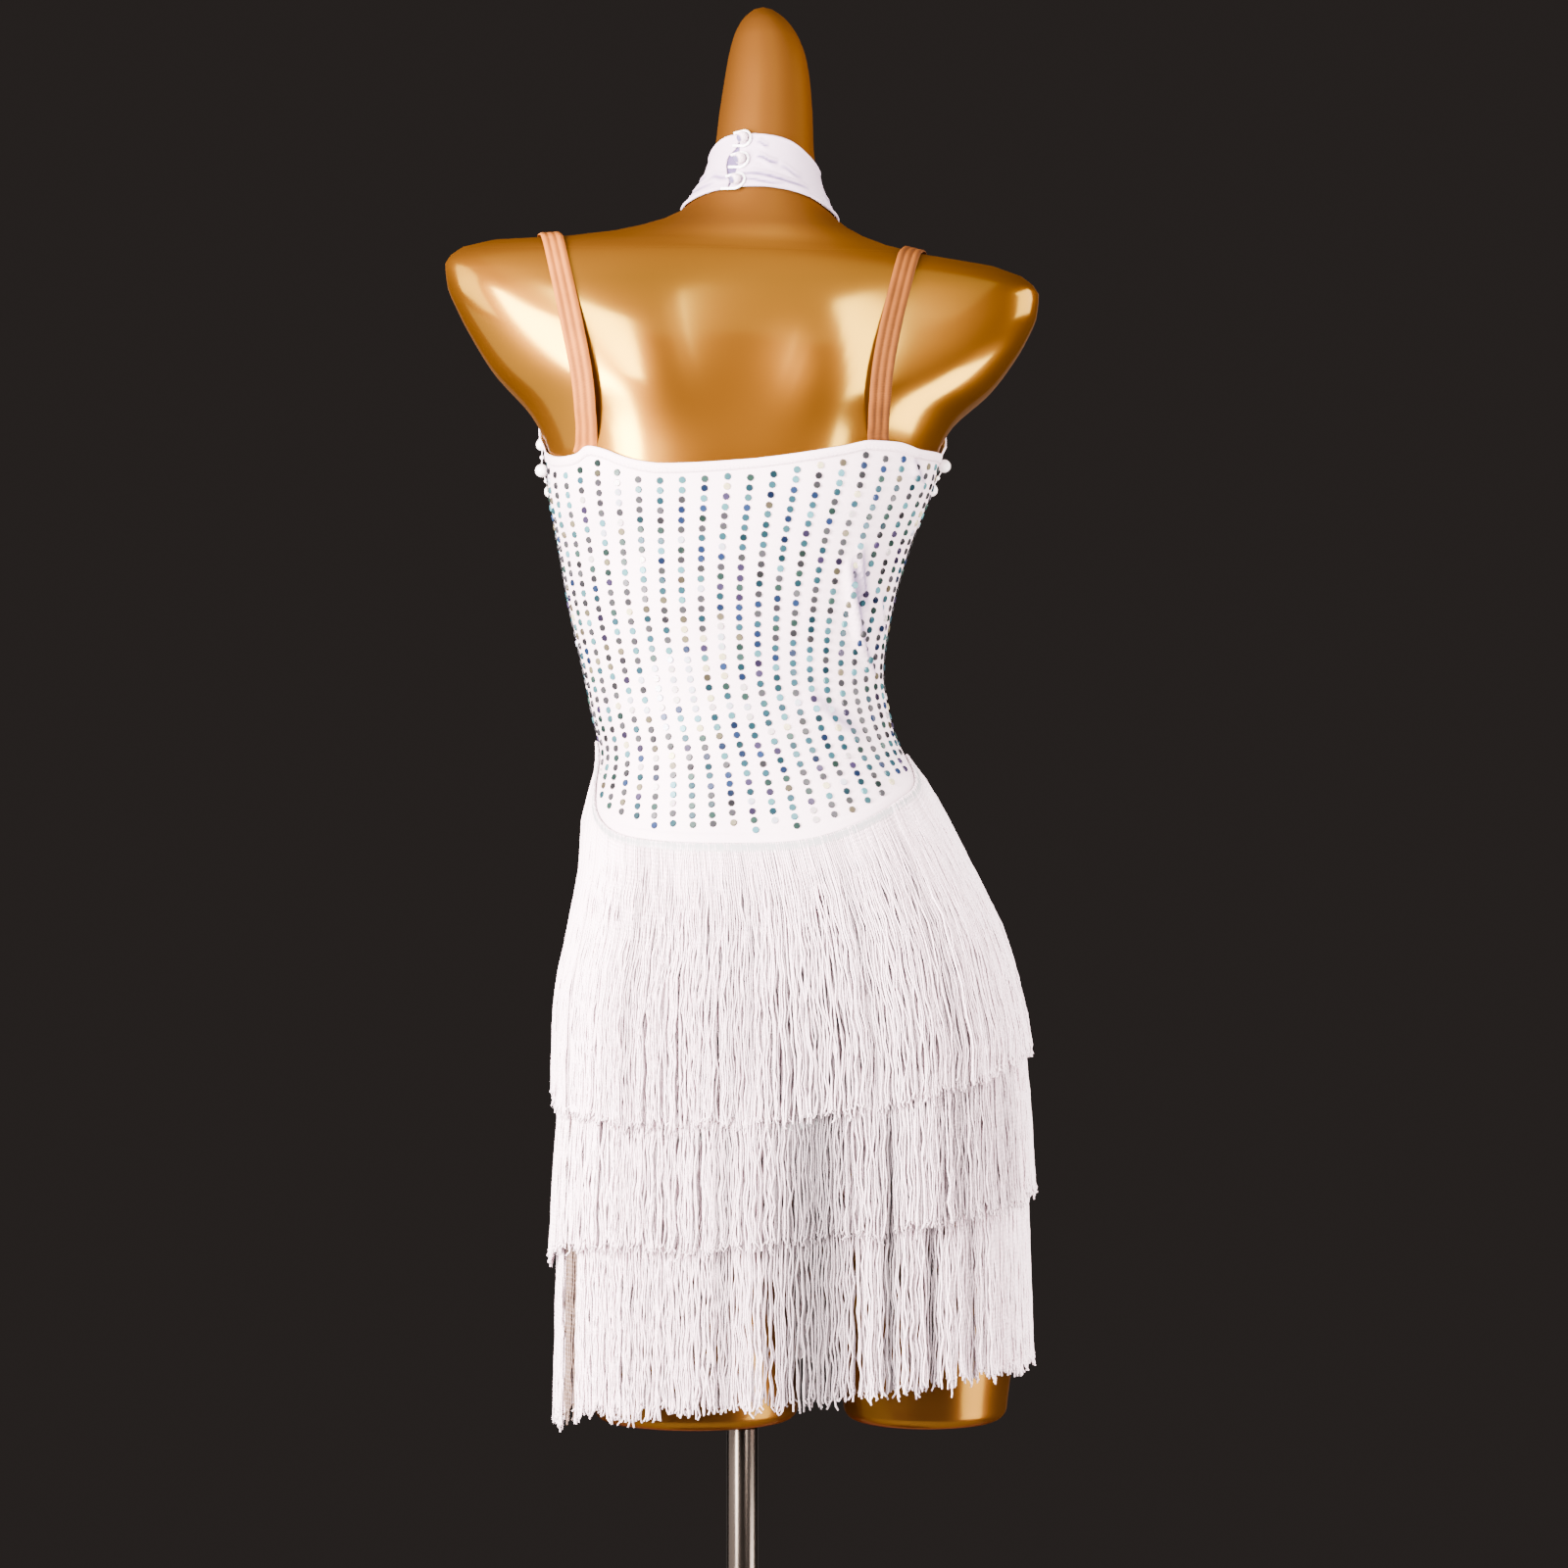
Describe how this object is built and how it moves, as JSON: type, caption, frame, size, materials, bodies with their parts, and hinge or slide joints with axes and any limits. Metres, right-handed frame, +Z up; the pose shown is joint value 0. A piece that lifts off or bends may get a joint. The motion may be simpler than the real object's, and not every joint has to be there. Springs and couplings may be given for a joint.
{
  "type": "salsa dance dress on dress form",
  "caption": "White Latin dance dress with a halter collar, elastic straps, rhinestone bodice and tiers of long fringe, on a glossy gold torso form with a chrome pole and round foot.",
  "frame": {"origin": "centre of the foot's underside, on the floor under the pole", "axes": "+Z up; the dress's back faces -Y and the wearer's front +Y; +X is the right-hand side seen from behind"},
  "size_m": [0.4339, 0.3382, 1.6055],
  "materials": {
    "gold_form": "glossy gold lacquer",
    "chrome_stand": "polished",
    "white_stretch": "satin stretch knit",
    "white_fringe": "chainette fringe",
    "skin_elastic": "ribbed elastic",
    "pearl": "pearl lustre",
    "rhinestone": "faceted crystal with an iridescent coating"
  },
  "bodies": {
    "root": {"display_form": "gold_form", "stand_pole": "chrome_stand", "stand_foot": "chrome_stand", "bodice_back": "white_stretch", "bodice_front": "white_stretch", "back_binding": "white_stretch", "collar": "white_stretch", "collar_button_1": "white_stretch", "collar_button_2": "white_stretch", "collar_button_3": "white_stretch", "collar_loop_1": "white_stretch", "collar_loop_2": "white_stretch", "collar_loop_3": "white_stretch", "strap_left": "skin_elastic", "strap_right": "skin_elastic", "pearls_left": "pearl", "pearls_right": "pearl", "skirt_base_back": "white_stretch", "skirt_base_front": "white_stretch", "fringe_top": "white_fringe", "fringe_middle": "white_fringe", "fringe_bottom": "white_fringe"}
  },
  "joints": []
}
